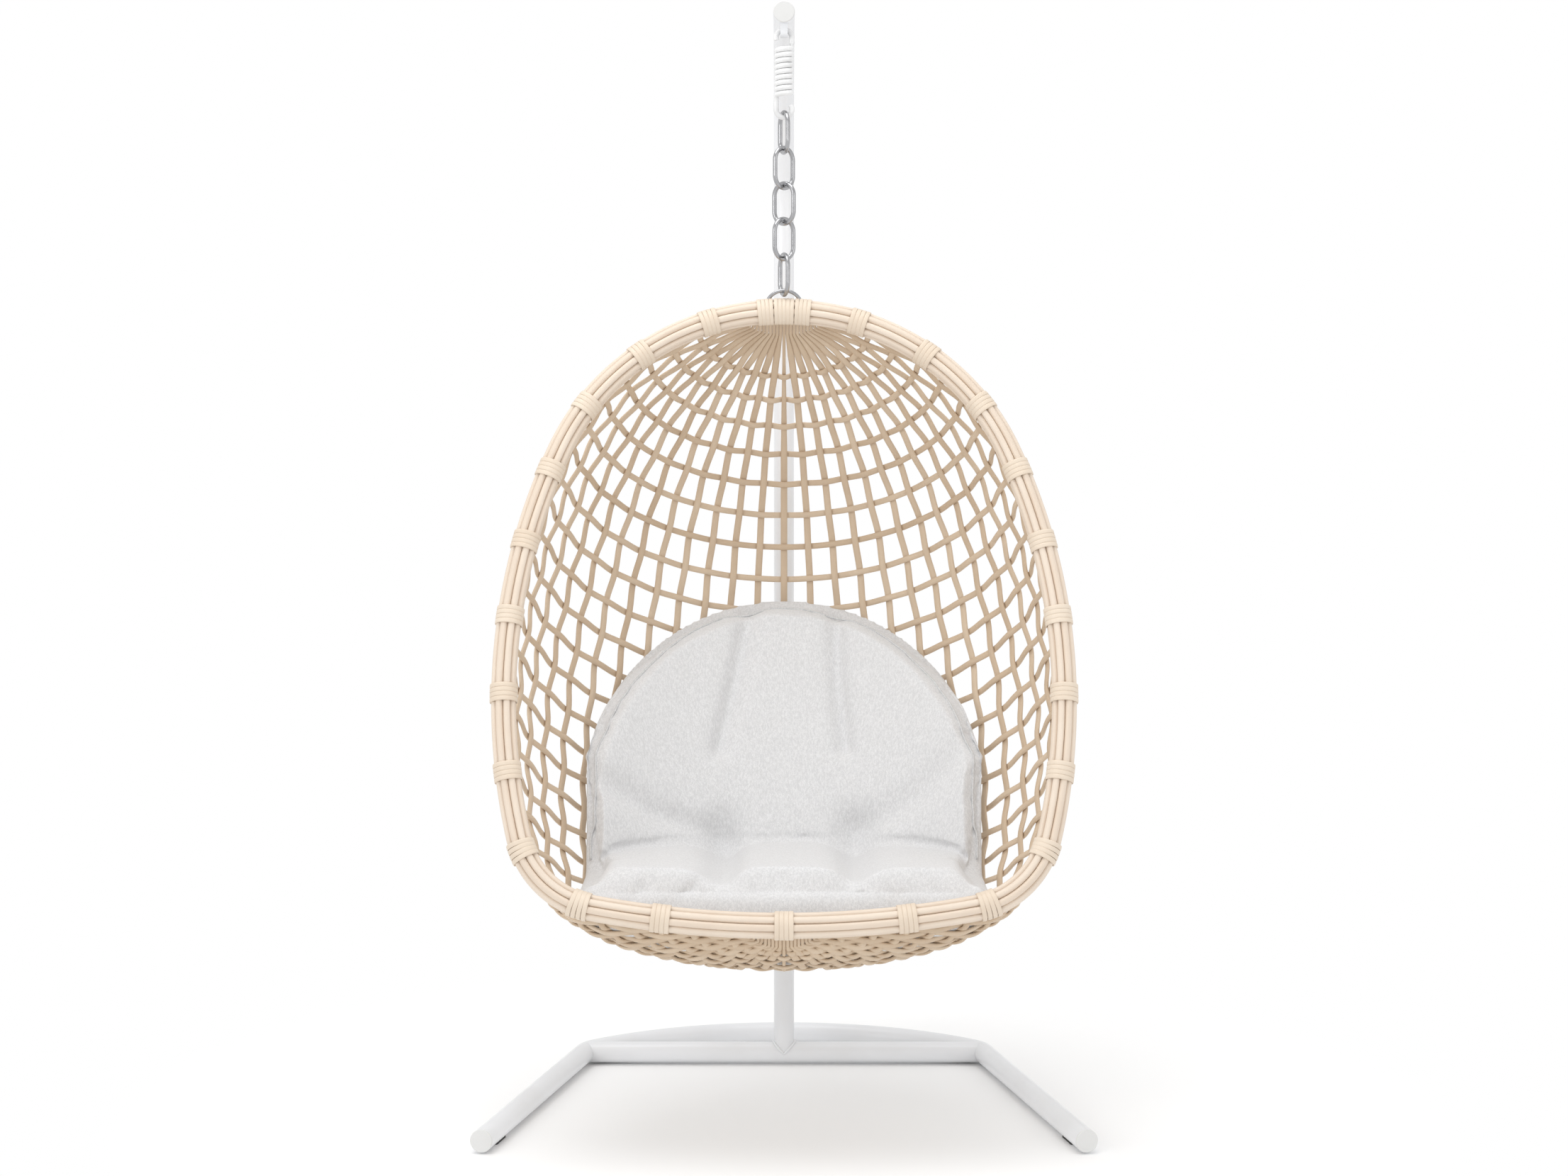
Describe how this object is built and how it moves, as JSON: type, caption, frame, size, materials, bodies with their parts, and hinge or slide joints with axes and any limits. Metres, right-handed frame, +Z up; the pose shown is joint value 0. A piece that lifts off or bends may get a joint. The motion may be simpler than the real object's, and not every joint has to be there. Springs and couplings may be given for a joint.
{
  "type": "hanging egg chair",
  "caption": "Woven resin egg basket with a pad, hung by a chain and coil spring from a free-standing bent-tube stand.",
  "frame": {"origin": "on the floor, at the middle of the chair's footprint", "axes": "+Z up; the basket's open side faces -Y; X = 0 is the plane of symmetry"},
  "size_m": [1.0396, 0.8855, 1.949],
  "materials": {
    "white_coat": "satin white powder coat",
    "spring_coat": "glossy white coat",
    "satin_steel": "satin galvanised",
    "bare_steel": "plain steel, hidden",
    "cap_plastic": "white, fine matt",
    "pad_rubber": "matt",
    "rim_resin": "pale cream flat resin strand with a satin skin",
    "binding_resin": "pale tan resin cord",
    "weave_resin": "tan resin cord, satin",
    "pad_fabric": "light grey melange weave"
  },
  "bodies": {
    "stand": {"base_hoop": "white_coat", "base_crossbar": "white_coat", "column_lower": "white_coat", "column_upper": "white_coat", "column_spigot": "bare_steel", "column_bolts": "satin_steel", "foot_cap_left": "cap_plastic", "foot_cap_right": "cap_plastic", "glide_pads": "pad_rubber", "arm_end_cap": "cap_plastic", "hanging_eye": "white_coat"},
    "spring": {"spring_top_hook": "spring_coat", "spring_coil": "spring_coat"},
    "link_1": {"spring_bottom_hook": "spring_coat", "chain_link_1": "satin_steel"},
    "link_2": {"chain_link_2": "satin_steel"},
    "link_3": {"chain_link_3": "satin_steel"},
    "link_4": {"chain_link_4": "satin_steel"},
    "link_5": {"chain_link_5": "satin_steel"},
    "basket": {"hanger_ring": "satin_steel", "rim_core": "bare_steel", "rim_strands": "rim_resin", "rim_top_binding": "binding_resin", "rim_bindings": "binding_resin", "woven_shell": "weave_resin", "seat_cushion": "pad_fabric"}
  },
  "joints": [
    {"name": "swing", "type": "hinge", "parent": "stand", "child": "spring", "pos_m": [0, -0.04125, 1.90172], "axis": [-1, 0, 0], "range_deg": [-2, 10]},
    {"name": "spring_stretch", "type": "slide", "parent": "spring", "child": "link_1", "axis": [0, 0, -1], "range_m": [0, 0.035], "stiffness_N_per_m": 16000, "springref_m": -0.0165, "deforming": ["spring_coil"]},
    {"name": "link_2_sway", "type": "hinge", "parent": "link_1", "child": "link_2", "pos_m": [0, -0.04125, 1.68477], "axis": [0.309, -0.9511, 0], "range_deg": [-5, 5]},
    {"name": "link_3_twist", "type": "hinge", "parent": "link_2", "child": "link_3", "pos_m": [0, -0.04125, 1.6263], "axis": [0, 0, 1], "range_deg": [-15, 15]},
    {"name": "link_4_swing", "type": "hinge", "parent": "link_3", "child": "link_4", "pos_m": [0, -0.04125, 1.55937], "axis": [-0.766, 0.6428, 0], "range_deg": [-1, 5]},
    {"name": "link_5_swing", "type": "hinge", "parent": "link_4", "child": "link_5", "pos_m": [0, -0.04125, 1.49667], "axis": [-0.7431, -0.6691, 0], "range_deg": [-1, 5]},
    {"name": "basket_rock", "type": "hinge", "parent": "link_5", "child": "basket", "pos_m": [0, -0.04125, 1.44142], "axis": [-1, 0, 0], "range_deg": [-2, 6]}
  ]
}
